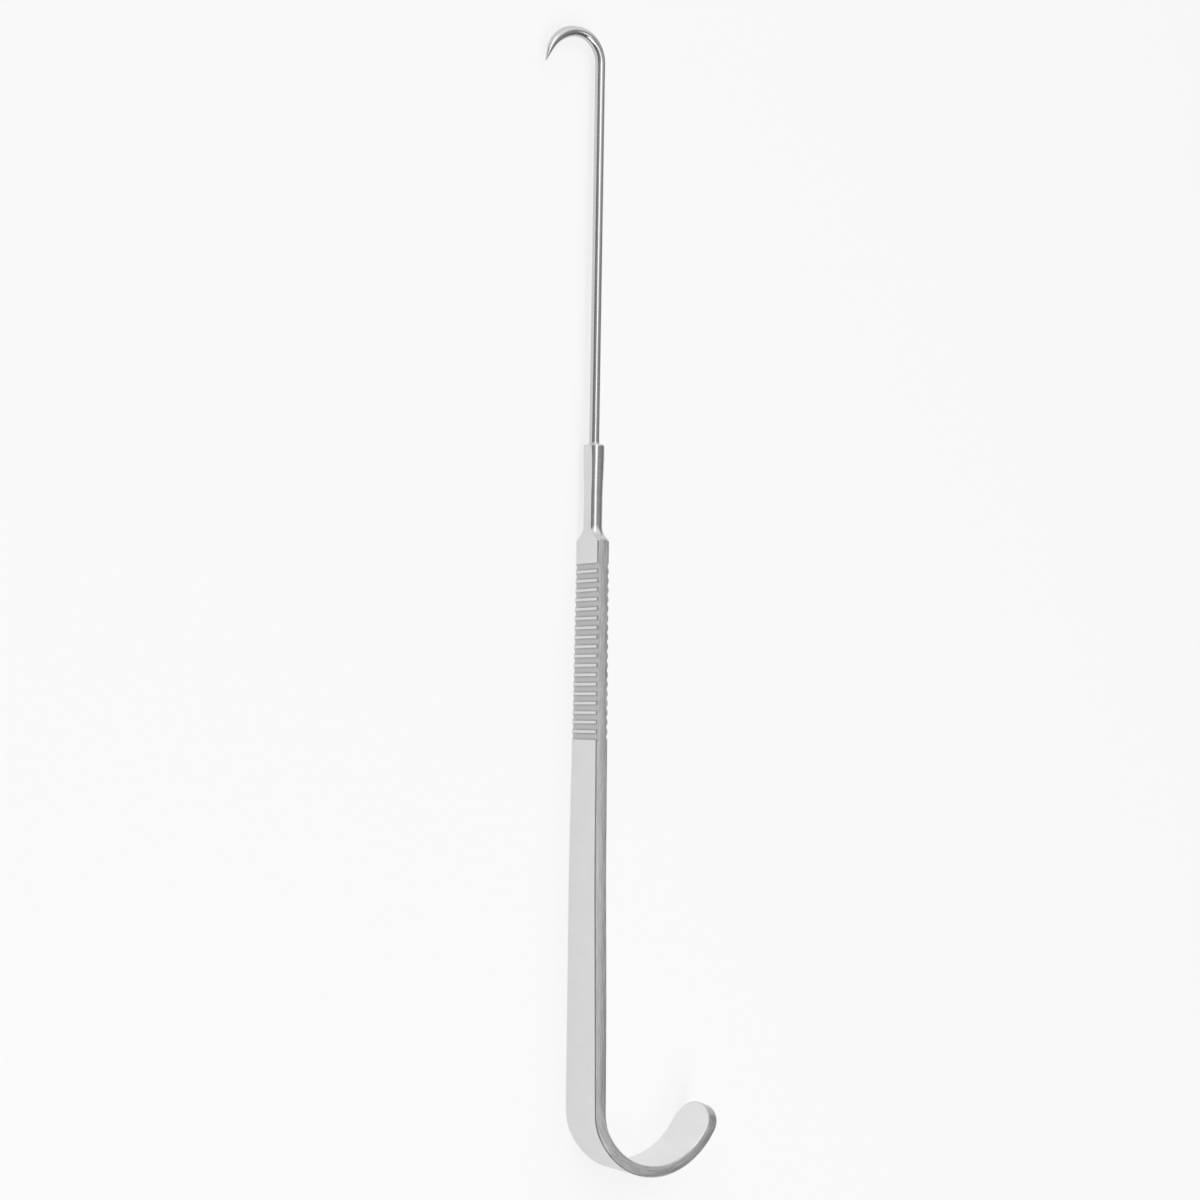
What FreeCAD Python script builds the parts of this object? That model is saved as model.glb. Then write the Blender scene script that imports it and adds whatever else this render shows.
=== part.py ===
import FreeCAD, Part
import math
import os

import Sketcher

# A sharp single-prong hook retractor with a long round shaft, a turned neck, a grooved flat handle and a
# finger curl. It is one piece of stainless steel. All lengths are in millimetres and all angles in degrees.
#
# Modelling frame of the body: X runs along the shaft and the handle, with X = 0 at the neck's end face, the
# hook towards -X and the finger curl towards +X. The hook opens towards -Y and the curl turns towards +Y. Z is
# the direction of the handle's width, so the retractor lies on the narrow side of its handle.

Vector = FreeCAD.Vector

# Driving dimensions

SIZES = {
    # Shaft and hook
    "shaft_diameter": (2.2, "round shaft and hook wire"),
    "shaft_length": (83.5, "neck's end face to the start of the hook's bend"),
    "shaft_root": (6.0, "length of shaft that is one with the neck"),
    "hook_near_radius": (5.5, "centre line of the bend next to the shaft"),
    "hook_near_turn": (90.0, "angle of that bend"),
    "hook_far_radius": (9.25, "centre line of the wider bend towards the point"),
    "hook_crown_turn": (9.0, "angle of the wider bend before the wire thins"),
    "hook_thinning_turn": (60.5, "angle over which the wire thins to the point"),
    "point_root_diameter": (1.16, "wire where the straight point starts"),
    "point_length": (2.45, "straight, sharp point"),
    "point_diameter": (0.18, "blunt end of the sharp point"),
    "shaft_fillet": (0.45, "fillet where the shaft enters the neck"),
    # Turned neck with flats
    "neck_end_radius": (2.25, "turned radius at the neck's end face"),
    "neck_waist_radius": (2.0, "turned radius of the neck's waist"),
    "neck_collar": (3.0, "length of full radius behind the end face"),
    "neck_taper_length": (11.0, "end face to the start of the waist, where the flats' flare ends too"),
    "neck_length": (17.6, "end face to the start of the turned shoulder"),
    "neck_end_flare": (0.25, "how far each flat stands out beyond the wide face at the end face"),
    "neck_edge_fillet": (0.4, "rounded edge of the end face"),
    "shoulder_hollow": (3.2, "concave radius of the turned shoulder"),
    "shoulder_round": (2.4, "convex radius of the turned shoulder"),
    "shoulder_clearance": (0.15, "turned profile's end, clear of the bar's corners"),
    # Flat handle
    "handle_thickness": (3.2, "across the two wide faces"),
    "handle_end_width": (7.35, "width of the wide face at the shoulder"),
    "shoulder_end": (22.1, "where the end width is measured"),
    "handle_length": (140.7, "neck's end face to the start of the curl"),
    "set_start": (88.0, "where the handle starts to lean towards the curl"),
    "set_radius": (400.0, "radius of that gentle bend, on the outer face"),
    "set_angle": (0.8, "lean of the lower handle"),
    "edge_break": (0.2, "narrow chamfer that breaks the long edges"),
    # Grip grooves on both wide faces
    "groove_count": (19, "grooves on each wide face"),
    "groove_pitch": (2.0, "distance from groove to groove"),
    "groove_width": (1.45, "mouth of a groove"),
    "groove_depth": (0.45, "depth of a groove"),
    "groove_start": (26.3, "neck's end face to the middle of the first groove"),
    # Finger curl
    "curl_width": (9.86, "width of the wide face at the start of the curl"),
    "curl_flare": (0.95, "outward lean of the narrow sides across the curl"),
    "curl_lead_radius": (10.9, "outer radius of the first, tighter part"),
    "curl_lead_turn": (29.4, "angle of that part"),
    "curl_radius": (19.35, "outer radius of the main part"),
    "curl_turn": (128.2, "angle of the main part"),
    "curl_inner_lead_radius": (9.7, "inner radius of the first part"),
    "curl_start_thinning": (0.25, "what the handle loses in thickness before the curl starts"),
    "thinning_length": (19.7, "stretch over which the handle thins before the curl"),
    "curl_bottom_thickness": (2.3, "thickness at the bottom of the curl, its thinnest place"),
    "curl_inner_shift": (0.75, "shift of the inner radius towards the bottom, which thins the curl there"),
    "tip_round": (5.3, "rounded corners of the tip, nearly a half circle"),
    "stock_margin": (4.0, "spare width of the stock before its sides are cut"),
    "cut_margin": (2.0, "how far a cut's outline stands off the metal"),
}

doc = FreeCAD.newDocument("retractor")


def make_sheet():
    """Write the driving dimensions to a spreadsheet, one alias a row."""
    sheet = doc.addObject("Spreadsheet::Sheet", "sizes")
    for row, (alias, (value, meaning)) in enumerate(SIZES.items(), start=1):
        sheet.set(f"A{row}", alias)
        sheet.set(f"B{row}", str(value))
        sheet.setAlias(f"B{row}", alias)
        sheet.set(f"C{row}", meaning)
    doc.recompute()
    return sheet


sheet = make_sheet()


def size(alias):
    """The sheet's value of one driving dimension, for a sketch's first shape and for finding edges."""
    return float(sheet.get(alias))


def cell(formula):
    """Turn a formula of plain aliases, each written as [alias], into one that reads the sheet."""
    return formula.replace("[", "sizes.").replace("]", "")


# Sketch helpers


def plane(body, role):
    """One of the body's origin planes."""
    return next(item for item in body.Origin.OriginFeatures if item.Role == role)


def add_sketch(body, name, role):
    """A sketch of the body, flat on one of its origin planes."""
    sketch = body.newObject("Sketcher::SketchObject", name)
    sketch.AttachmentSupport = (plane(body, role), "")
    sketch.MapMode = "FlatFace"
    return sketch


def line(sketch, start, end):
    """Draw a straight line and return its number."""
    return sketch.addGeometry(Part.LineSegment(Vector(*start), Vector(*end)), False)


def arc(sketch, centre, radius, first, last):
    """Draw an anticlockwise arc between two angles in radians and return its number."""
    circle = Part.Circle(Vector(*centre), Vector(0, 0, 1), radius)
    return sketch.addGeometry(Part.ArcOfCircle(circle, first, last), False)


def circle(sketch, centre, radius):
    """Draw a full circle and return its number."""
    return sketch.addGeometry(Part.Circle(Vector(*centre), Vector(0, 0, 1), radius), False)


def relate(sketch, *relation):
    """Add a relation without a size, such as Horizontal or Tangent."""
    sketch.addConstraint(Sketcher.Constraint(*relation))


def drive(sketch, name, formula, *relation):
    """Add a dimension that follows a formula of the sheet's sizes."""
    index = sketch.addConstraint(Sketcher.Constraint(*relation))
    sketch.renameConstraint(index, name)
    sketch.setExpression(f"Constraints.{name}", cell(formula))


START, END, CENTRE = range(1, 4)
X_AXIS, Y_AXIS = range(-1, -3, -1)
ORIGIN = (X_AXIS, START)


# The handle's side outline


def draw_side_outline(body):
    """The neck flats, handle and curl seen along the width, as one closed outline, and its tip line's number.

    It runs down the outer face from the neck's end to the tip and back up the inner face. The flats flare
    towards the neck's end.
    """
    thick, flare = size("handle_thickness"), size("neck_end_flare")
    end_thick = thick + 2 * flare
    lean = math.radians(size("set_angle"))
    lead_end = lean + math.radians(size("curl_lead_turn"))
    tip_angle = lead_end + math.radians(size("curl_turn"))
    quarter = math.pi / 2

    def away(centre, radius, angle):
        """Point of an arc where the outline's heading is the given angle from +X."""
        return (centre[0] + radius * math.sin(angle), centre[1] - radius * math.cos(angle))

    set_centre = (size("set_start"), size("set_radius") - thick / 2)
    set_end = away(set_centre, size("set_radius"), lean)
    rise = (size("handle_length") - set_end[0]) * math.tan(lean)
    curl_start = (size("handle_length"), set_end[1] + rise)
    lead_centre = away(curl_start, -size("curl_lead_radius"), lean)
    lead_tip = away(lead_centre, size("curl_lead_radius"), lead_end)
    curl_centre = away(lead_tip, -size("curl_radius"), lead_end)
    outer_tip = away(curl_centre, size("curl_radius"), tip_angle)
    inner_radius = size("curl_radius") - size("curl_bottom_thickness") - size("curl_inner_shift")
    inner_centre = (curl_centre[0] + size("curl_inner_shift"), curl_centre[1])
    inner_tip = away(inner_centre, inner_radius, tip_angle)
    inner_lead = size("curl_inner_lead_radius")
    inner_lead_centre = away(inner_centre, inner_radius - inner_lead, lead_end)
    inner_start = away(inner_lead_centre, inner_lead, lean)
    thin_start = (size("handle_length") - size("thinning_length"), curl_start[1] + thick)
    inner_set = size("set_radius") - thick
    flare_length = size("neck_taper_length")
    flat_radius = (flare_length ** 2 + flare ** 2) / (2 * flare)
    flat_turn = math.asin(flare_length / flat_radius)

    sketch = add_sketch(body, "side_outline", "XY_Plane")
    flat_out = arc(sketch, (flare_length, -thick / 2 - flat_radius), flat_radius, quarter,
                   quarter + flat_turn)
    face_out = line(sketch, (flare_length, -thick / 2), (size("set_start"), -thick / 2))
    set_out = arc(sketch, set_centre, size("set_radius"), -quarter, lean - quarter)
    lower_out = line(sketch, set_end, curl_start)
    lead_out = arc(sketch, lead_centre, size("curl_lead_radius"), lean - quarter, lead_end - quarter)
    curl_out = arc(sketch, curl_centre, size("curl_radius"), lead_end - quarter, tip_angle - quarter)
    tip = line(sketch, outer_tip, inner_tip)
    curl_in = arc(sketch, inner_centre, inner_radius, lead_end - quarter, tip_angle - quarter)
    lead_in = arc(sketch, inner_lead_centre, inner_lead, lean - quarter, lead_end - quarter)
    thin_in = line(sketch, inner_start, thin_start)
    lower_in = line(sketch, thin_start, away(set_centre, inner_set, lean))
    set_in = arc(sketch, set_centre, inner_set, -quarter, lean - quarter)
    face_in = line(sketch, (size("set_start"), thick / 2), (flare_length, thick / 2))
    flat_in = arc(sketch, (flare_length, thick / 2 + flat_radius), flat_radius, -quarter - flat_turn,
                  -quarter)
    end = line(sketch, (0, end_thick / 2), (0, -end_thick / 2))

    relate(sketch, "Tangent", flat_out, START, face_out, START)
    relate(sketch, "Tangent", face_out, END, set_out, START)
    relate(sketch, "Tangent", set_out, END, lower_out, START)
    relate(sketch, "Tangent", lower_out, END, lead_out, START)
    relate(sketch, "Tangent", lead_out, END, curl_out, START)
    relate(sketch, "Coincident", curl_out, END, tip, START)
    relate(sketch, "Coincident", tip, END, curl_in, END)
    relate(sketch, "Tangent", curl_in, START, lead_in, END)
    relate(sketch, "Tangent", lead_in, START, thin_in, START)
    relate(sketch, "Coincident", thin_in, END, lower_in, START)
    relate(sketch, "Tangent", lower_in, END, set_in, END)
    relate(sketch, "Tangent", set_in, START, face_in, START)
    relate(sketch, "Tangent", face_in, END, flat_in, END)
    relate(sketch, "Coincident", flat_in, START, end, START)
    relate(sketch, "Coincident", end, END, flat_out, END)
    relate(sketch, "Horizontal", face_out)
    relate(sketch, "Horizontal", face_in)
    relate(sketch, "PointOnObject", end, START, Y_AXIS)
    relate(sketch, "Symmetric", end, START, end, END, X_AXIS)
    relate(sketch, "Symmetric", flat_out, START, flat_in, END, X_AXIS)
    relate(sketch, "Parallel", lower_in, lower_out)
    relate(sketch, "Coincident", set_in, CENTRE, set_out, CENTRE)
    relate(sketch, "PointOnObject", curl_out, CENTRE, tip)
    relate(sketch, "Horizontal", curl_out, CENTRE, curl_in, CENTRE)

    drive(sketch, "end_thickness", "[handle_thickness] + 2 * [neck_end_flare]", "DistanceY", end, END, end,
          START, end_thick)
    drive(sketch, "thickness", "[handle_thickness]", "DistanceY", face_out, START, face_in, END, thick)
    drive(sketch, "flare_length", "[neck_taper_length]", "DistanceX", *ORIGIN, flat_out, START, flare_length)
    drive(sketch, "set_start", "[set_start]", "DistanceX", *ORIGIN, face_out, END, size("set_start"))
    drive(sketch, "set_radius", "[set_radius]", "Radius", set_out, size("set_radius"))
    drive(sketch, "set_angle", "[set_angle]", "Angle", lower_out, lean)
    drive(sketch, "length", "[handle_length]", "DistanceX", *ORIGIN, lower_out, END, size("handle_length"))
    drive(sketch, "lead_radius", "[curl_lead_radius]", "Radius", lead_out, size("curl_lead_radius"))
    drive(sketch, "lead_turn", "[curl_lead_turn]", "Angle", lead_out, lead_end - lean)
    drive(sketch, "curl_radius", "[curl_radius]", "Radius", curl_out, size("curl_radius"))
    drive(sketch, "curl_turn", "[curl_turn]", "Angle", curl_out, tip_angle - lead_end)
    drive(sketch, "inner_shift", "[curl_inner_shift]", "DistanceX", curl_out, CENTRE, curl_in, CENTRE,
          size("curl_inner_shift"))
    drive(sketch, "inner_radius", "[curl_radius] - [curl_bottom_thickness] - [curl_inner_shift]", "Radius",
          curl_in, inner_radius)
    drive(sketch, "inner_lead", "[curl_inner_lead_radius]", "Radius", lead_in, inner_lead)
    drive(sketch, "start_thickness", "[handle_thickness] - [curl_start_thinning]", "Distance", lower_out, END,
          thin_in, thick - size("curl_start_thinning"))
    drive(sketch, "thinning", "[thinning_length]", "DistanceX", thin_in, END, lower_out, END,
          size("thinning_length"))
    return sketch, tip


# The tapering narrow sides


def draw_side_cut(body):
    """Everything outside one narrow side, seen on the wide face. The cut leans so that the curl flares."""
    margin = size("cut_margin")
    start, length = size("shoulder_end"), size("handle_length")
    end_half, curl_half = size("handle_end_width") / 2, size("curl_width") / 2
    slope = (curl_half - end_half) / (length - start)
    far = length + size("curl_radius") + margin
    outside = (size("curl_width") + size("stock_margin")) / 2 + margin
    near_half = end_half - slope * (start + margin)
    far_half = end_half + slope * (far - start)
    slope_formula = "([curl_width] - [handle_end_width]) / 2 / ([handle_length] - [shoulder_end])"
    far_formula = "[handle_length] + [curl_radius] + [cut_margin]"

    sketch = add_sketch(body, "side_cut_outline", "XZ_Plane")
    sketch.AttachmentOffset = FreeCAD.Placement(Vector(), FreeCAD.Rotation(Vector(1, 0, 0), 0))
    sketch.setExpression("AttachmentOffset.Rotation.Angle", cell("[curl_flare]"))
    side = line(sketch, (-margin, near_half), (far, far_half))
    bottom = line(sketch, (far, far_half), (far, outside))
    back = line(sketch, (far, outside), (-margin, outside))
    top = line(sketch, (-margin, outside), (-margin, near_half))
    ring = [side, bottom, back, top]
    for this, following in zip(ring, ring[1:] + ring[:1]):
        relate(sketch, "Coincident", this, END, following, START)
    relate(sketch, "Horizontal", back)
    relate(sketch, "Vertical", bottom)
    relate(sketch, "Vertical", top)
    drive(sketch, "margin", "[cut_margin]", "DistanceX", side, START, *ORIGIN, margin)
    drive(sketch, "far", far_formula, "DistanceX", *ORIGIN, side, END, far)
    drive(sketch, "near_half", f"[handle_end_width] / 2 - {slope_formula} * ([shoulder_end] + [cut_margin])",
          "DistanceY", *ORIGIN, side, START, near_half)
    drive(sketch, "far_half", f"[handle_end_width] / 2 + {slope_formula} * ({far_formula} - [shoulder_end])",
          "DistanceY", *ORIGIN, side, END, far_half)
    drive(sketch, "outside", "([curl_width] + [stock_margin]) / 2 + [cut_margin]", "DistanceY", *ORIGIN, back,
          START, outside)
    return sketch


# The turned neck


def draw_turning(body):
    """What the lathe takes off round the neck and shoulder, as an outline that turns about the X axis."""
    margin = size("cut_margin")
    end_radius, waist = size("neck_end_radius"), size("neck_waist_radius")
    hollow, rounding = size("shoulder_hollow"), size("shoulder_round")
    corner = math.hypot(size("handle_end_width") / 2, size("handle_thickness") / 2)
    top_radius = corner + size("shoulder_clearance")
    turn = math.acos(1 - (top_radius - waist) / (hollow + rounding))
    start = size("neck_length")
    middle = (start + hollow * math.sin(turn), waist + hollow * (1 - math.cos(turn)))
    finish = (start + (hollow + rounding) * math.sin(turn), top_radius)
    outside = size("curl_width") + size("stock_margin")
    quarter = math.pi / 2

    sketch = add_sketch(body, "neck_turning_outline", "XY_Plane")
    collar = line(sketch, (-margin, end_radius), (size("neck_collar"), end_radius))
    taper = line(sketch, (size("neck_collar"), end_radius), (size("neck_taper_length"), waist))
    straight = line(sketch, (size("neck_taper_length"), waist), (start, waist))
    inward = arc(sketch, (start, waist + hollow), hollow, -quarter, turn - quarter)
    outward = arc(sketch, (finish[0], top_radius - rounding), rounding, quarter, quarter + turn)
    bottom = line(sketch, finish, (finish[0], outside))
    back = line(sketch, (finish[0], outside), (-margin, outside))
    top = line(sketch, (-margin, outside), (-margin, end_radius))

    relate(sketch, "Coincident", collar, END, taper, START)
    relate(sketch, "Coincident", taper, END, straight, START)
    relate(sketch, "Tangent", straight, END, inward, START)
    relate(sketch, "Tangent", inward, END, outward, END)
    relate(sketch, "Coincident", outward, START, bottom, START)
    relate(sketch, "Coincident", bottom, END, back, START)
    relate(sketch, "Coincident", back, END, top, START)
    relate(sketch, "Coincident", top, END, collar, START)
    relate(sketch, "Horizontal", collar)
    relate(sketch, "Horizontal", straight)
    relate(sketch, "Horizontal", back)
    relate(sketch, "Vertical", top)
    relate(sketch, "Vertical", bottom)
    relate(sketch, "PointOnObject", outward, CENTRE, bottom)
    drive(sketch, "margin", "[cut_margin]", "DistanceX", collar, START, *ORIGIN, margin)
    drive(sketch, "collar", "[neck_collar]", "DistanceX", *ORIGIN, collar, END, size("neck_collar"))
    drive(sketch, "taper", "[neck_taper_length]", "DistanceX", *ORIGIN, taper, END,
          size("neck_taper_length"))
    drive(sketch, "neck", "[neck_length]", "DistanceX", *ORIGIN, straight, END, start)
    drive(sketch, "end_radius", "[neck_end_radius]", "DistanceY", *ORIGIN, collar, END, end_radius)
    drive(sketch, "waist", "[neck_waist_radius]", "DistanceY", *ORIGIN, straight, END, waist)
    drive(sketch, "hollow", "[shoulder_hollow]", "Radius", inward, hollow)
    drive(sketch, "rounding", "[shoulder_round]", "Radius", outward, rounding)
    drive(sketch, "top_radius",
          "sqrt(([handle_end_width] / 2) ^ 2 + ([handle_thickness] / 2) ^ 2) + [shoulder_clearance]",
          "DistanceY", *ORIGIN, bottom, START, top_radius)
    drive(sketch, "outside", "[curl_width] + [stock_margin]", "DistanceY", *ORIGIN, back, END, outside)
    return sketch


# The grip grooves


def draw_groove(body):
    """One groove in each wide face, as two circles that dip into the handle."""
    half = size("handle_thickness") / 2
    depth, mouth = size("groove_depth"), size("groove_width")
    radius = (mouth ** 2 / 4 + depth ** 2) / (2 * depth)
    offset = half + radius - depth
    radius_formula = "([groove_width] ^ 2 / 4 + [groove_depth] ^ 2) / (2 * [groove_depth])"
    offset_formula = f"[handle_thickness] / 2 + {radius_formula} - [groove_depth]"

    sketch = add_sketch(body, "groove_outline", "XY_Plane")
    outer = circle(sketch, (size("groove_start"), -offset), radius)
    inner = circle(sketch, (size("groove_start"), offset), radius)
    relate(sketch, "Symmetric", outer, CENTRE, inner, CENTRE, X_AXIS)
    relate(sketch, "Equal", outer, inner)
    drive(sketch, "radius", radius_formula, "Radius", outer, radius)
    drive(sketch, "place", "[groove_start]", "DistanceX", *ORIGIN, inner, CENTRE, size("groove_start"))
    drive(sketch, "offset", offset_formula, "DistanceY", *ORIGIN, inner, CENTRE, offset)
    return sketch


# The shaft and hook


def draw_shaft_line(body):
    """The centre line of the shaft and hook: a straight run, a tight bend, a wider bend and a short point."""
    near, far = size("hook_near_radius"), size("hook_far_radius")
    first = math.radians(size("hook_near_turn"))
    second = first + math.radians(size("hook_crown_turn"))
    third = second + math.radians(size("hook_thinning_turn"))
    quarter = math.pi / 2

    def away(centre, radius, angle):
        """Point of an arc where the wire's heading has turned by the given angle from -X."""
        return (centre[0] - radius * math.sin(angle), centre[1] + radius * math.cos(angle))

    bend = (-size("shaft_length"), 0)
    near_centre = (bend[0], -near)
    near_end = away(near_centre, near, first)
    far_centre = away(near_end, -far, first)
    far_end = away(far_centre, far, third)
    tip = (far_end[0] - size("point_length") * math.cos(third),
           far_end[1] - size("point_length") * math.sin(third))

    sketch = add_sketch(body, "shaft_line", "XY_Plane")
    straight = line(sketch, (size("shaft_root"), 0), bend)
    tight = arc(sketch, near_centre, near, quarter, quarter + first)
    crown = arc(sketch, far_centre, far, quarter + first, quarter + second)
    thinning = arc(sketch, far_centre, far, quarter + second, quarter + third)
    point = line(sketch, far_end, tip)
    relate(sketch, "Horizontal", straight)
    relate(sketch, "PointOnObject", straight, START, X_AXIS)
    relate(sketch, "Tangent", straight, END, tight, START)
    relate(sketch, "Tangent", tight, END, crown, START)
    relate(sketch, "Tangent", crown, END, thinning, START)
    relate(sketch, "Tangent", thinning, END, point, START)
    relate(sketch, "Equal", crown, thinning)
    drive(sketch, "root", "[shaft_root]", "DistanceX", *ORIGIN, straight, START, size("shaft_root"))
    drive(sketch, "length", "[shaft_length]", "DistanceX", straight, END, *ORIGIN, size("shaft_length"))
    drive(sketch, "near_radius", "[hook_near_radius]", "Radius", tight, near)
    drive(sketch, "near_turn", "[hook_near_turn]", "Angle", tight, first)
    drive(sketch, "far_radius", "[hook_far_radius]", "Radius", crown, far)
    drive(sketch, "crown_turn", "[hook_crown_turn]", "Angle", crown, second - first)
    drive(sketch, "thinning_turn", "[hook_thinning_turn]", "Angle", thinning, third - second)
    drive(sketch, "point_length", "[point_length]", "Distance", point, size("point_length"))
    return sketch


def draw_wire_section(body, name, shaft_line, edge, position, alias):
    """A round section of the wire, square to its centre line at one end of an edge."""
    sketch = body.newObject("Sketcher::SketchObject", name)
    sketch.AttachmentSupport = (shaft_line, edge)
    sketch.MapMode = "NormalToEdge"
    sketch.MapPathParameter = position
    ring = circle(sketch, (0, 0), size(alias) / 2)
    relate(sketch, "Coincident", ring, CENTRE, *ORIGIN)
    drive(sketch, "diameter", f"[{alias}]", "Diameter", ring, size(alias))
    return sketch


# Features


def add_pocket(body, name, sketch, both_sides):
    """Cut a sketch through everything."""
    pocket = body.newObject("PartDesign::Pocket", name)
    pocket.Profile = sketch
    pocket.Type = "ThroughAll"
    pocket.Midplane = both_sides
    return pocket


def cut_checked(body, base, feature):
    """Recompute and stop if a cut took nothing away from the feature before it."""
    doc.recompute()
    if feature.Shape.isNull() or feature.Shape.Volume >= base.Shape.Volume:
        raise RuntimeError(f"{feature.Name} cuts nothing")
    body.Tip = feature


def add_pipe(body, name, profile, spine, edges):
    """Sweep a section along edges of a centre line."""
    pipe = body.newObject("PartDesign::AdditivePipe", name)
    pipe.Profile = profile
    pipe.Spine = (spine, edges)
    return pipe


def edges_where(shape, test):
    """Names of the shape's edges that pass a test."""
    return [f"Edge{number}" for number, edge in enumerate(shape.Edges, start=1) if test(edge)]


def dress_edges(body, name, kind, base, edges, formula):
    """Fillet or chamfer some edges of a feature."""
    dressed = body.newObject(f"PartDesign::{kind}", name)
    dressed.Base = (base, edges)
    dressed.setExpression("Radius" if kind == "Fillet" else "Size", cell(formula))
    doc.recompute()
    if dressed.Shape.isNull():
        raise RuntimeError(f"{name} has no shape")
    body.Tip = dressed
    return dressed


def build_blank(body):
    """The handle and curl as flat stock with tapered, flaring sides, and the line of its tip."""
    outline, tip_line = draw_side_outline(body)
    pad = body.newObject("PartDesign::Pad", "stock")
    pad.Profile = outline
    pad.Midplane = True
    pad.setExpression("Length", cell("[curl_width] + [stock_margin]"))
    doc.recompute()

    side = add_pocket(body, "side_cut", draw_side_cut(body), True)
    cut_checked(body, pad, side)
    mirrored = body.newObject("PartDesign::Mirrored", "other_side_cut")
    mirrored.Originals = [side]
    mirrored.MirrorPlane = (plane(body, "XY_Plane"), [""])
    cut_checked(body, side, mirrored)
    return mirrored, outline.Geometry[tip_line]


def round_tip(body, blank, tip):
    """Round the two corners of the tip, nearly to a half circle."""
    tip_middle = (tip.StartPoint + tip.EndPoint) / 2

    def at_tip(edge):
        middle = edge.CenterOfMass
        near = math.hypot(middle.x - tip_middle.x, middle.y - tip_middle.y) < tip.length() / 4
        return near and abs(middle.z) > size("curl_width") / 4

    corners = edges_where(blank.Shape, at_tip)
    return dress_edges(body, "tip_corners", "Fillet", blank, corners, "[tip_round]")


def break_long_edges(body, base):
    """Break the long edges of the handle and curl, from the neck round the tip and back."""
    def long_edge(edge):
        box = edge.BoundBox
        beyond_end = box.XMax > size("neck_collar")
        along = max(box.XLength, box.YLength) > size("tip_round") / 2
        beside = abs(edge.CenterOfMass.z) > size("handle_end_width") / 4
        return beyond_end and along and beside

    long_edges = edges_where(base.Shape, long_edge)
    return dress_edges(body, "long_edges", "Chamfer", base, long_edges, "[edge_break]")


def turn_neck(body, base):
    """Turn the neck and shoulder on the lathe, which leaves its two flats."""
    turning = body.newObject("PartDesign::Groove", "neck_turning")
    turning.Profile = draw_turning(body)
    turning.ReferenceAxis = (turning.Profile[0], ["H_Axis"])
    turning.Angle = 360
    cut_checked(body, base, turning)
    return turning


def round_neck_end(body, base):
    """Round the edge of the neck's end face."""
    def at_end(edge):
        return edge.BoundBox.XMax < size("neck_edge_fillet")

    rim = edges_where(base.Shape, at_end)
    return dress_edges(body, "neck_end_edge", "Fillet", base, rim, "[neck_edge_fillet]")


def mill_grooves(body, base):
    """Mill the grip grooves across both wide faces."""
    groove = add_pocket(body, "groove", draw_groove(body), True)
    cut_checked(body, base, groove)
    row = body.newObject("PartDesign::LinearPattern", "grooves")
    row.Originals = [groove]
    row.Direction = (groove.Profile[0], ["H_Axis"])
    row.setExpression("Length", cell("[groove_pitch] * ([groove_count] - 1)"))
    row.setExpression("Occurrences", cell("[groove_count]"))
    cut_checked(body, groove, row)
    return row


def draw_wire(body):
    """Sweep the shaft and hook, and thin the wire to its point."""
    shaft_line = draw_shaft_line(body)
    doc.recompute()
    section = draw_wire_section(body, "shaft_section", shaft_line, "Edge1", 0, "shaft_diameter")
    shaft = add_pipe(body, "shaft", section, shaft_line, ["Edge1", "Edge2", "Edge3"])
    doc.recompute()
    body.Tip = shaft
    crown = draw_wire_section(body, "crown_section", shaft_line, "Edge4", 0, "shaft_diameter")
    root = draw_wire_section(body, "point_root_section", shaft_line, "Edge5", 0, "point_root_diameter")
    sharp = draw_wire_section(body, "point_section", shaft_line, "Edge5", 1, "point_diameter")
    point = add_pipe(body, "point", crown, shaft_line, ["Edge4", "Edge5"])
    point.Transformation = "Multisection"
    point.Sections = [(root, [""]), (sharp, [""])]
    doc.recompute()
    body.Tip = point
    return point


def fillet_shaft(body, base):
    """Fillet the corner where the shaft enters the neck."""
    def at_root(edge):
        box = edge.BoundBox
        round_shaft = abs(box.YLength - size("shaft_diameter")) < size("point_diameter")
        return abs(box.XMin) < size("point_diameter") and box.XLength < size("point_diameter") and round_shaft

    root = edges_where(base.Shape, at_root)
    return dress_edges(body, "shaft_root_fillet", "Fillet", base, root, "[shaft_fillet]")


def build_retractor():
    """The whole retractor, one solid."""
    body = doc.addObject("PartDesign::Body", "hook_retractor")
    body.Label = "hook_retractor"
    blank, tip = build_blank(body)
    rounded = round_tip(body, blank, tip)
    broken = break_long_edges(body, rounded)
    turned = turn_neck(body, broken)
    ended = round_neck_end(body, turned)
    mill_grooves(body, ended)
    hooked = draw_wire(body)
    fillet_shaft(body, hooked)
    doc.recompute()
    return body


def underside(body):
    """The narrow side that the retractor lies on: the largest flat face that looks down."""
    def looks_down(face):
        normal = face.normalAt(0, 0)
        return -normal.z > max(abs(normal.x), abs(normal.y))

    flat = [face for face in body.Shape.Faces if face.Surface.TypeId == "Part::GeomPlane"]
    return max(filter(looks_down, flat), key=lambda face: face.Area)


def lay_down(body):
    """Turn the underside level, and put the origin beneath the middle of the retractor's box."""
    body.Placement.Rotation = FreeCAD.Rotation(underside(body).normalAt(0, 0), Vector(0, 0, -1))
    doc.recompute()
    box = body.Shape.optimalBoundingBox(False, False)
    body.Placement.Base = Vector(-box.Center.x, -box.Center.y, -box.ZMin)
    doc.recompute()


def check_document(bodies):
    """Stop if any object failed or a body isn't one valid solid."""
    for item in doc.Objects:
        if "Invalid" in item.State or "Error" in item.State:
            raise RuntimeError(f"{item.Name} failed: {item.State}")
        if item.TypeId == "Sketcher::SketchObject" and not item.FullyConstrained:
            raise RuntimeError(f"{item.Name} isn't fully constrained")
    for body in bodies:
        if body.Shape.isNull() or not body.Shape.isValid() or len(body.Shape.Solids) != 1:
            raise RuntimeError(f"{body.Label} isn't one valid solid")


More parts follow.
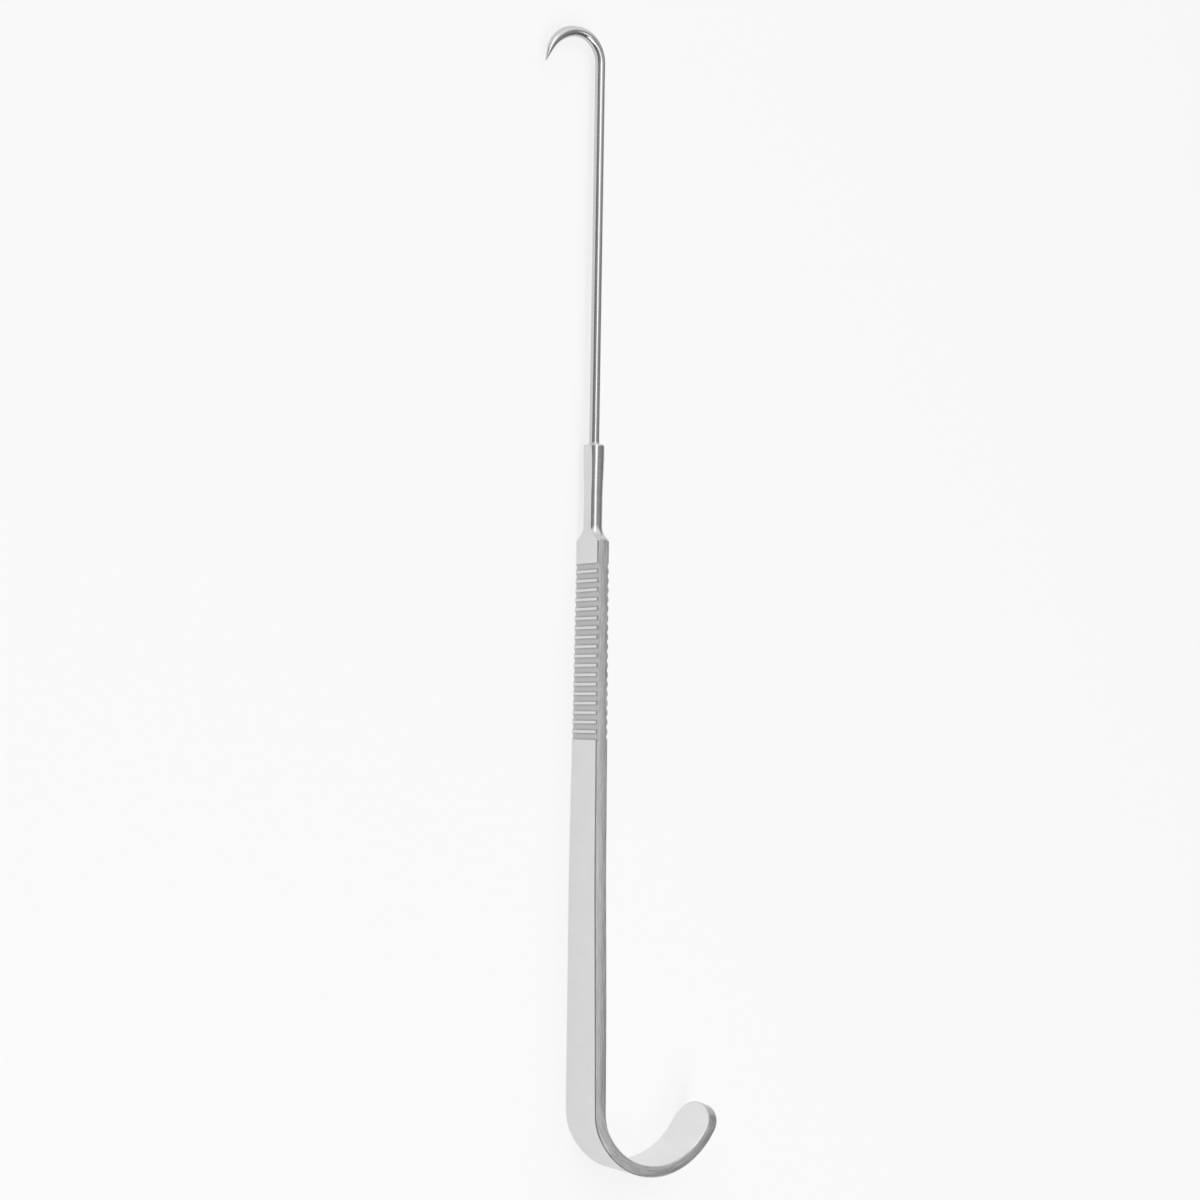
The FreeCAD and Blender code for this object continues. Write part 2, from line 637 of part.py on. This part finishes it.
def main():
    """Build, check and write the retractor."""
    retractor = build_retractor()
    lay_down(retractor)
    check_document([retractor])
    os.makedirs("parts", exist_ok=True)
    retractor.Shape.exportStep(os.path.join("parts", f"{retractor.Label}.step"))
    box = retractor.Shape.optimalBoundingBox(False, False)
    print(f"{retractor.Label}: {box.XLength:.2f} x {box.YLength:.2f} x {box.ZLength:.2f} mm, "
          f"{retractor.Shape.Volume:.0f} cubic mm")


main()
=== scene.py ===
"""Looks of a handheld surgical hook retractor that lies on a pale floor.

The retractor is one piece of stainless steel, whose shape comes whole from the CAD solid. This script
sorts the solid's faces by how each was made, such as drawn, turned, milled or ground, and gives each its own
steel finish. It adds the floor, the light and the camera. Lengths are in millimetres where a name has _mm,
and in metres elsewhere. +X runs from the hook to the finger curl, -Y is the way that the hook's point looks,
and +Z is up, across the handle's width.
"""

import logging
import math
from dataclasses import dataclass, field
from enum import Enum
from typing import Any

import bpy
from mathutils import Euler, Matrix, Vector

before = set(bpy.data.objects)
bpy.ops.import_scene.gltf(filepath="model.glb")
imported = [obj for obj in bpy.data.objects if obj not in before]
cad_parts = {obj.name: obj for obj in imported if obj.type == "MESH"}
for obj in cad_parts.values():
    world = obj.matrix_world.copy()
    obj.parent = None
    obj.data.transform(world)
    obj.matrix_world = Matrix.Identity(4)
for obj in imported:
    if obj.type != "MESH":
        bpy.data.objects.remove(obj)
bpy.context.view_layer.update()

log = logging.getLogger("retractor")

MM = 0.001

# Nearly all of a noise lies between these two values.
NOISE_LOW, NOISE_HIGH = 0.3, 0.7


class Zone(Enum):
    """How a face of the retractor was made, which settles its finish."""

    WIRE = "drawn and polished shaft and hook"
    NECK = "turned neck and shoulder"
    GROOVE = "milled grip grooves"
    FACE = "satin flats of the neck, lands of the grip, and outer face of the handle and the curl"
    INSIDE = "blasted finger's side of the handle and the curl"
    SIDE = "ground narrow sides of the handle and the curl, and the rounded tip"
    EDGE = "stoned chamfers of the long edges"


# Nodes and colours


def linear(code: str) -> tuple[float, float, float, float]:
    """Turn an sRGB hex colour into Blender's linear one.

    Args:
        code: The colour as six hex digits after a hash sign.

    Returns:
        Red, green, blue and an alpha of 1.
    """
    parts = [int(code[i : i + 2], 16) / 255 for i in (1, 3, 5)]
    red, green, blue = [p / 12.92 if p <= 0.04045 else ((p + 0.055) / 1.055) ** 2.4 for p in parts]
    return (red, green, blue, 1.0)


def add(tree: bpy.types.NodeTree, kind: str, links: dict[Any, Any] | None = None,
        **settings: Any) -> bpy.types.Node:
    """Add a node with its settings and inputs.

    Args:
        tree: The node tree that gets the node.
        kind: The node's type, such as ShaderNodeBump.
        links: Input name or number to the socket that feeds it, or to its own value.
        settings: The node's properties.

    Returns:
        The new node.
    """
    node = tree.nodes.new(kind)
    for name, value in settings.items():
        setattr(node, name, value)
    for name, value in (links or {}).items():
        if isinstance(value, bpy.types.NodeSocket):
            tree.links.new(value, node.inputs[name])
        else:
            node.inputs[name].default_value = value
    return node


def blank(name: str) -> bpy.types.Material:
    """Make a material whose node tree is empty.

    Args:
        name: The real material and its finish.

    Returns:
        The material.
    """
    material = bpy.data.materials.new(name)
    material.use_nodes = True
    material.node_tree.nodes.clear()
    return material


# Steel finishes


@dataclass(frozen=True)
class Unrolling:
    """The path of the bar through handle and curl, which the grinding and polishing marks follow.

    The centre is that of the curl's wide bend. The marks are as long as they would be at the radius, and the
    middle is how far the middle of the bar's thickness stands from the centre.
    """

    centre_x: float = 103.49 * MM
    centre_y: float = 7.29 * MM
    radius: float = 18.2 * MM
    middle: float = 17.35 * MM

    def across(self, place: Vector) -> Vector:
        """Tell which way is across the bar's thickness.

        Args:
            place: A point of the bar, in metres.

        Returns:
            A unit vector away from the finger's side.
        """
        reach = Vector((place.x - self.centre_x, place.y - self.centre_y, 0.0))
        if reach.x < 0 and reach.y < 0:
            return Vector((0.0, -1.0, 0.0))
        return reach.normalized()

    def build(self, tree: bpy.types.NodeTree) -> bpy.types.NodeSocket:
        """Make coordinates that run straight along the handle and turn with the curl.

        Args:
            tree: The material's node tree.

        Returns:
            A vector in metres: along the bar, across its thickness, and across its width.
        """
        place = add(tree, "ShaderNodeTexCoord").outputs["Object"]
        east, north, up = add(tree, "ShaderNodeSeparateXYZ", {0: place}).outputs
        x = add(tree, "ShaderNodeMath", {0: east, 1: self.centre_x}, operation="SUBTRACT").outputs[0]
        y = add(tree, "ShaderNodeMath", {0: self.centre_y, 1: north}, operation="SUBTRACT").outputs[0]
        before = add(tree, "ShaderNodeMath", {0: x, 1: 0.0}, operation="LESS_THAN").outputs[0]
        below = add(tree, "ShaderNodeMath", {0: y, 1: 0.0}, operation="GREATER_THAN").outputs[0]
        straight = add(tree, "ShaderNodeMath", {0: before, 1: below}, operation="MULTIPLY").outputs[0]
        angle = add(tree, "ShaderNodeMath", {0: x, 1: y}, operation="ARCTAN2").outputs[0]
        arc = add(tree, "ShaderNodeMath", {0: angle, 1: self.radius}, operation="MULTIPLY").outputs[0]
        flat = add(tree, "ShaderNodeCombineXYZ", {0: x, 1: y}).outputs[0]
        reach = add(tree, "ShaderNodeVectorMath", {0: flat}, operation="LENGTH").outputs["Value"]
        along = add(tree, "ShaderNodeMix", {0: straight, 2: arc, 3: x}).outputs[0]
        across = add(tree, "ShaderNodeMix", {0: straight, 2: reach, 3: y}).outputs[0]
        return add(tree, "ShaderNodeCombineXYZ", {0: along, 1: across, 2: up}).outputs[0]


@dataclass(frozen=True)
class SteelFinish:
    """One finish of stainless steel: its colour, its gloss and the marks of the tool that made it.

    The marks are a noise drawn out along the tool's path. Their real spacing is a few hundredths of a
    millimetre, finer than the render shows, so each finish draws them as coarse as they need to be to show.
    Their size is given along the bar, across its thickness and across its width. The crown is how much the
    face's slope grows for each millimetre away from its middle.
    """

    name: str
    colour: str
    roughness: float
    mark_size_mm: tuple[float, float, float]
    mark_depth_mm: float
    roughness_spread: float = 0.04
    mark_shade: float = 0.03
    mark_detail: float = 3.0
    stain: float = 0.03
    stain_size_mm: float = 4.0
    stain_detail: float = 2.0
    crown_per_mm: float = 0.0

    def marks(self, tree: bpy.types.NodeTree, path: bpy.types.NodeSocket) -> bpy.types.NodeSocket:
        """Draw the tool marks as a grey noise.

        Args:
            tree: The material's node tree.
            path: Coordinates along and across the bar, in metres.

        Returns:
            The noise, around 0.5.
        """
        scale = [1 / (size * MM) for size in self.mark_size_mm]
        drawn = add(tree, "ShaderNodeVectorMath", {0: path, 1: scale}, operation="MULTIPLY").outputs[0]
        noise = {"Vector": drawn, "Scale": 1.0, "Detail": self.mark_detail}
        return add(tree, "ShaderNodeTexNoise", noise).outputs[0]

    def spread(self, tree: bpy.types.NodeTree, noise: bpy.types.NodeSocket, low: float,
               high: float) -> bpy.types.NodeSocket:
        """Spread a noise over a range.

        Args:
            tree: The material's node tree.
            noise: The noise, around 0.5.
            low: What its low end becomes.
            high: What its high end becomes.

        Returns:
            The spread noise.
        """
        ends = {"From Min": NOISE_LOW, "From Max": NOISE_HIGH, "To Min": low, "To Max": high}
        return add(tree, "ShaderNodeMapRange", {"Value": noise} | ends).outputs[0]

    def relief(self, tree: bpy.types.NodeTree, path: bpy.types.NodeSocket,
               marks: bpy.types.NodeSocket) -> bpy.types.NodeSocket:
        """Give the marks their depth, on a face that the belt left slightly crowned across the bar.

        Args:
            tree: The material's node tree.
            path: Coordinates along and across the bar, in metres.
            marks: The marks as a grey noise.

        Returns:
            The height in millimetres.
        """
        depth, half_crown = self.mark_depth_mm, self.crown_per_mm / 2
        deep = add(tree, "ShaderNodeMath", {0: marks, 1: depth}, operation="MULTIPLY").outputs[0]
        if not half_crown:
            return deep
        across = add(tree, "ShaderNodeSeparateXYZ", {0: path}).outputs[1]
        middle = Unrolling().middle
        off = add(tree, "ShaderNodeMath", {0: across, 1: middle}, operation="SUBTRACT").outputs[0]
        off_mm = add(tree, "ShaderNodeMath", {0: off, 1: MM}, operation="DIVIDE").outputs[0]
        square = add(tree, "ShaderNodeMath", {0: off_mm, 1: off_mm}, operation="MULTIPLY").outputs[0]
        fall = add(tree, "ShaderNodeMath", {0: square, 1: half_crown}, operation="MULTIPLY").outputs[0]
        return add(tree, "ShaderNodeMath", {0: deep, 1: fall}, operation="SUBTRACT").outputs[0]

    def build(self) -> bpy.types.Material:
        """Make the material.

        Returns:
            The finished material.
        """
        material = blank(self.name)
        tree = material.node_tree
        path = Unrolling().build(tree)
        marks = self.marks(tree, path)
        stain_scale = 1 / (self.stain_size_mm * MM)
        cloud = add(tree, "ShaderNodeTexNoise", {"Vector": path, "Scale": stain_scale,
                                                 "Detail": self.stain_detail}).outputs[0]
        shade = self.spread(tree, cloud, 1 - self.stain, 1.0)
        streak = self.spread(tree, marks, 1 - self.mark_shade, 1.0)
        both = add(tree, "ShaderNodeMath", {0: shade, 1: streak}, operation="MULTIPLY").outputs[0]
        colour = add(tree, "ShaderNodeVectorMath", {0: linear(self.colour)[:3], "Scale": both},
                     operation="SCALE").outputs[0]
        gloss = self.spread(tree, marks, self.roughness - self.roughness_spread,
                            self.roughness + self.roughness_spread)
        height = self.relief(tree, path, marks)
        bump = add(tree, "ShaderNodeBump", {"Height": height, "Distance": MM, "Strength": 1.0})
        steel = add(tree, "ShaderNodeBsdfPrincipled", {
            "Base Color": colour,
            "Metallic": 1.0,
            "Roughness": gloss,
            "Normal": bump.outputs[0],
        })
        add(tree, "ShaderNodeOutputMaterial", {"Surface": steel.outputs[0]})
        return material


# Stainless steel drawn to wire and polished: close to a mirror, with fine lines along the wire.
DRAWN_WIRE = SteelFinish("stainless_steel_drawn_polished", "#d0d0d0", 0.2,
                         mark_size_mm=(12.0, 0.25, 0.25), mark_depth_mm=0.004)

# Stainless steel turned on a lathe and polished: a soft mirror with faint rings.
TURNED_NECK = SteelFinish("stainless_steel_turned_polished", "#d0d0d0", 0.2,
                          mark_size_mm=(0.35, 4.0, 4.0), mark_depth_mm=0.003)

# Stainless steel milled across: duller and darker, with lines along each groove.
MILLED_GROOVE = SteelFinish("stainless_steel_milled", "#cacaca", 0.45,
                            mark_size_mm=(0.25, 0.25, 3.0), mark_depth_mm=0.006,
                            roughness_spread=0.05, mark_shade=0.08)

# Stainless steel with a satin finish: an even, bright grey without a clear reflection.
SATIN_FACE = SteelFinish("stainless_steel_satin", "#e3e3e3", 0.36,
                         mark_size_mm=(2.5, 0.35, 0.35), mark_depth_mm=0.006)

# Stainless steel blasted with fine glass beads, and even: its colour, paler than the satin faces, is painted
# light for the bright floor that the inside of the curl reflects.
BLASTED_INSIDE_PAINTED_LIGHT = SteelFinish("stainless_steel_bead_blasted_painted_light", "#efefef", 0.45,
                             mark_size_mm=(0.5, 0.5, 0.5), mark_depth_mm=0.008)

# Stainless steel ground along its length: dull, with streaks that follow the bar and the curl.
GROUND_SIDE = SteelFinish("stainless_steel_ground", "#dcdcdc", 0.43,
                          mark_size_mm=(5.0, 0.25, 0.5), mark_depth_mm=0.05,
                          roughness_spread=0.08, mark_shade=0.35,
                          stain=0.05, stain_size_mm=1.5, crown_per_mm=0.1)

# Stainless steel where a fine stone broke the long edges: a little smoother than the satin faces, and darker
# in colour, which is painted shade for the dark lines that the rounded edges reflect.
STONED_EDGE_PAINTED_SHADE = SteelFinish("stainless_steel_stoned_edge_painted_shade", "#cecece", 0.34,
                          mark_size_mm=(4.0, 0.25, 0.25), mark_depth_mm=0.004)


@dataclass
class Retractor:
    """The whole retractor: one CAD solid whose faces are sorted by how they were made.

    Its sizes are the places where one finish gives way to the next. The last four are shares of a face's
    normal, which tell a flat face, a groove's walls, a narrow side and a chamfer from the others.
    """

    node: str = "hook_retractor"
    path: Unrolling = Unrolling()
    neck_end_x: float = -32.85 * MM
    shoulder_x: float = -10.7 * MM
    side_height: float = 3.2 * MM
    axis_z: float = 3.65 * MM
    first_groove_x: float = -7.4 * MM
    last_groove_x: float = 30.3 * MM
    half_thickness: float = 1.56 * MM
    handle_y: float = -10.07 * MM
    flat_share: float = 0.97
    groove_share: float = 0.3
    side_share: float = 0.5
    edge_share: float = 0.9
    finishes: dict[Zone, SteelFinish] = field(default_factory=lambda: {
        Zone.WIRE: DRAWN_WIRE,
        Zone.NECK: TURNED_NECK,
        Zone.GROOVE: MILLED_GROOVE,
        Zone.FACE: SATIN_FACE,
        Zone.INSIDE: BLASTED_INSIDE_PAINTED_LIGHT,
        Zone.SIDE: GROUND_SIDE,
        Zone.EDGE: STONED_EDGE_PAINTED_SHADE,
    })

    def zone(self, centre: Vector, normal: Vector) -> Zone:
        """Tell how a face was made from its place and the way that it looks.

        Args:
            centre: The face's middle, in metres.
            normal: The way that the face looks.

        Returns:
            The face's zone.
        """
        if centre.x < self.neck_end_x:
            return Zone.WIRE
        beside = abs(normal.z) > self.flat_share and abs(centre.z - self.axis_z) > self.side_height
        on_flat = abs(normal.y) >= self.flat_share
        if centre.x < self.shoulder_x and not on_flat and not beside:
            return Zone.NECK
        within = abs(centre.y - self.handle_y) < self.half_thickness
        gripped = self.first_groove_x < centre.x < self.last_groove_x
        if within and gripped and abs(normal.z) < self.groove_share:
            return Zone.GROOVE
        outward = normal.dot(self.path.across(centre))
        if abs(outward) < self.side_share:
            return Zone.SIDE
        if abs(outward) < self.edge_share:
            return Zone.EDGE
        if outward < 0 and centre.x > self.last_groove_x:
            return Zone.INSIDE
        return Zone.FACE

    def dress(self, nodes: dict[str, bpy.types.Object]) -> None:
        """Give each face of the solid the finish of its zone.

        Args:
            nodes: The frame's CAD nodes by name.
        """
        solid = nodes[self.node]
        mesh = solid.data
        mesh.materials.clear()
        zones = list(self.finishes)
        for zone in zones:
            mesh.materials.append(self.finishes[zone].build())
        counts = dict.fromkeys(zones, 0)
        for face in mesh.polygons:
            zone = self.zone(face.center, face.normal)
            face.material_index = zones.index(zone)
            counts[zone] += 1
        for zone, count in counts.items():
            log.info("%s: %s, %d faces", self.node, zone.value, count)


@dataclass(frozen=True)
class PaperFinish:
    """Matt white paper, with a faint fibre that softens its gloss."""

    name: str = "matt_white_paper"
    colour: str = "#f4f4f3"
    fibre_mm: float = 1.2
    fibre_depth_mm: float = 0.02
    roughness: float = 0.9
    ior: float = 1.5
    glow: float = 0.75

    def build(self) -> bpy.types.Material:
        """Make the material.

        Part of it shines at white to the eye, so that the floor stays pale and keeps its shadows.

        Returns:
            The finished material.
        """
        material = blank(self.name)
        tree = material.node_tree
        place = add(tree, "ShaderNodeTexCoord").outputs["Object"]
        fibre_scale = 1 / (self.fibre_mm * MM)
        fibre = add(tree, "ShaderNodeTexNoise", {"Vector": place, "Scale": fibre_scale}).outputs[0]
        bump = add(tree, "ShaderNodeBump", {"Height": fibre, "Distance": self.fibre_depth_mm * MM})
        paper = add(tree, "ShaderNodeBsdfPrincipled", {
            "Base Color": linear(self.colour),
            "Roughness": self.roughness,
            "IOR": self.ior,
            "Normal": bump.outputs[0],
        })
        white = add(tree, "ShaderNodeEmission", {"Color": linear("#ffffff"), "Strength": 1.0})
        rays = add(tree, "ShaderNodeLightPath").outputs
        seen = rays["Is Camera Ray"]
        for other in ("Is Glossy Ray", "Is Transmission Ray"):
            seen = add(tree, "ShaderNodeMath", {0: seen, 1: rays[other]}, operation="MAXIMUM").outputs[0]
        share = add(tree, "ShaderNodeMath", {0: seen, 1: self.glow}, operation="MULTIPLY").outputs[0]
        mixed = add(tree, "ShaderNodeMixShader", {0: share, 1: paper.outputs[0], 2: white.outputs[0]})
        add(tree, "ShaderNodeOutputMaterial", {"Surface": mixed.outputs[0]})
        return material


@dataclass(frozen=True)
class Softbox:
    """A flat, evenly lit rectangle that looks at a point and shows in the steel. Its power is in watts."""

    name: str
    place: tuple[float, float, float]
    target: tuple[float, float, float]
    size: tuple[float, float]
    power: float

    def hang(self) -> None:
        """Add the softbox, out of the camera's sight."""
        lamp = bpy.data.lights.new(self.name, "AREA")
        lamp.shape = "RECTANGLE"
        lamp.size, lamp.size_y = self.size
        lamp.energy = self.power
        softbox = bpy.data.objects.new(self.name, lamp)
        softbox.location = self.place
        aim = Vector(self.target) - Vector(self.place)
        softbox.rotation_euler = aim.to_track_quat("-Z", "Y").to_euler()
        softbox.visible_camera = False
        bpy.context.scene.collection.objects.link(softbox)
        log.info("%s: %.1f W", self.name, self.power)


# The main softbox hangs level above the hook's side. It draws the bright line along the shaft and the neck.
ABOVE = Softbox("softbox_above", place=(0.0, -0.24, 0.95), target=(0.0, -0.24, 0.0),
                size=(2.4, 0.42), power=4.2)

# A smaller softbox behind the handle shows softly in the ground narrow side.
BEHIND = Softbox("softbox_behind", place=(0.15, 0.53, 1.0), target=(0.15, 0.0, 0.0),
                 size=(0.36, 0.4), power=0.68)

# A third softbox stands beyond the curl. It fills the shadows on the floor.
FILL = Softbox("softbox_fill", place=(1.2, 0.0, 1.2), target=(0.0, 0.0, 0.0),
               size=(1.0, 1.0), power=7.5)


@dataclass
class Studio:
    """The plain pale floor, the soft light above it and the camera.

    The room grows brighter from the horizon up to room_high_z, and falls to the share room_end toward +X.
    Its wall is a bright patch toward wall_way, which fades in between the two values of wall_fade.
    """

    floor_size: float = 12.0
    floor_finish: PaperFinish = PaperFinish()
    softboxes: tuple[Softbox, ...] = (ABOVE, BEHIND, FILL)
    room_colour: str = "#ffffff"
    room_seen: float = 0.93
    room_strength: float = 0.33
    room_low: float = 0.17
    room_high_z: float = 0.7
    room_end: float = 0.2
    wall_strength: float = 0.75
    wall_way: tuple[float, float, float] = (-0.9, 0.0, 0.4)
    wall_fade: tuple[float, float] = (0.5, 0.8)
    camera_place: tuple[float, float, float] = (0.02385, -0.27772, 0.31251)
    camera_turn_deg: tuple[float, float, float] = (2.143, -41.234, 91.719)
    camera_lens: float = 57.57
    camera_sensor: float = 36.0
    camera_range: tuple[float, float] = (0.01, 50.0)

    def lay_floor(self) -> None:
        """Lay the paper floor on which the retractor rests."""
        half = self.floor_size / 2
        mesh = bpy.data.meshes.new("floor")
        corners = [(-half, -half, 0.0), (half, -half, 0.0), (half, half, 0.0), (-half, half, 0.0)]
        mesh.from_pydata(corners, [], [(0, 1, 2, 3)])
        mesh.materials.append(self.floor_finish.build())
        floor = bpy.data.objects.new("floor", mesh)
        bpy.context.scene.collection.objects.link(floor)
        log.info("floor: %.1f m wide", self.floor_size)

    def light(self) -> None:
        """Hang the softboxes, and light the room: a white wall beyond the hook, and dim beyond the curl."""
        for softbox in self.softboxes:
            softbox.hang()
        world = bpy.data.worlds.new("room")
        world.use_nodes = True
        tree = world.node_tree
        tree.nodes.clear()
        way = add(tree, "ShaderNodeTexCoord").outputs["Generated"]
        east, _, up = add(tree, "ShaderNodeSeparateXYZ", {0: way}).outputs
        high = add(tree, "ShaderNodeMapRange", {
            "Value": up,
            "From Max": self.room_high_z,
            "To Min": self.room_low,
            "To Max": self.room_strength,
        }).outputs[0]
        near = add(tree, "ShaderNodeMapRange", {
            "Value": east,
            "To Min": 1.0,
            "To Max": self.room_end,
        }).outputs[0]
        dim = add(tree, "ShaderNodeMath", {0: high, 1: near}, operation="MULTIPLY").outputs[0]
        to_wall = add(tree, "ShaderNodeVectorMath", {0: way, 1: self.wall_way},
                      operation="DOT_PRODUCT").outputs["Value"]
        faint, full = self.wall_fade
        wall = add(tree, "ShaderNodeMapRange", {
            "Value": to_wall,
            "From Min": faint,
            "From Max": full,
            "To Max": self.wall_strength,
        }, interpolation_type="SMOOTHSTEP").outputs[0]
        lit = add(tree, "ShaderNodeMath", {0: dim, 1: wall}, operation="ADD").outputs[0]
        seen = add(tree, "ShaderNodeLightPath").outputs["Is Camera Ray"]
        strength = add(tree, "ShaderNodeMix", {0: seen, 2: lit, 3: self.room_seen}).outputs[0]
        colour = linear(self.room_colour)
        room = add(tree, "ShaderNodeBackground", {"Color": colour, "Strength": strength})
        add(tree, "ShaderNodeOutputWorld", {"Surface": room.outputs[0]})
        bpy.context.scene.world = world
        log.info("room: %.2f, wall: %.2f", self.room_strength, self.wall_strength)

    def set_camera(self) -> None:
        """Set the camera above the retractor, with the hook at the top of the picture."""
        lens = bpy.data.cameras.new("camera")
        lens.lens = self.camera_lens
        lens.sensor_width = self.camera_sensor
        lens.clip_start, lens.clip_end = self.camera_range
        camera = bpy.data.objects.new("camera", lens)
        camera.location = self.camera_place
        camera.rotation_euler = Euler([math.radians(a) for a in self.camera_turn_deg], "XYZ")
        bpy.context.scene.collection.objects.link(camera)
        bpy.context.scene.camera = camera
        log.info("camera: %.0f mm lens", self.camera_lens)

    def build(self) -> None:
        """Build the floor, the light and the camera, and set plain colours."""
        self.lay_floor()
        self.light()
        self.set_camera()
        bpy.context.scene.view_settings.view_transform = "Standard"


def main() -> None:
    """Dress the retractor and build the studio round it."""
    logging.basicConfig(level=logging.INFO, format="%(name)s: %(message)s")
    Retractor().dress(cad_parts)
    Studio().build()


if __name__ == "__main__":
    main()
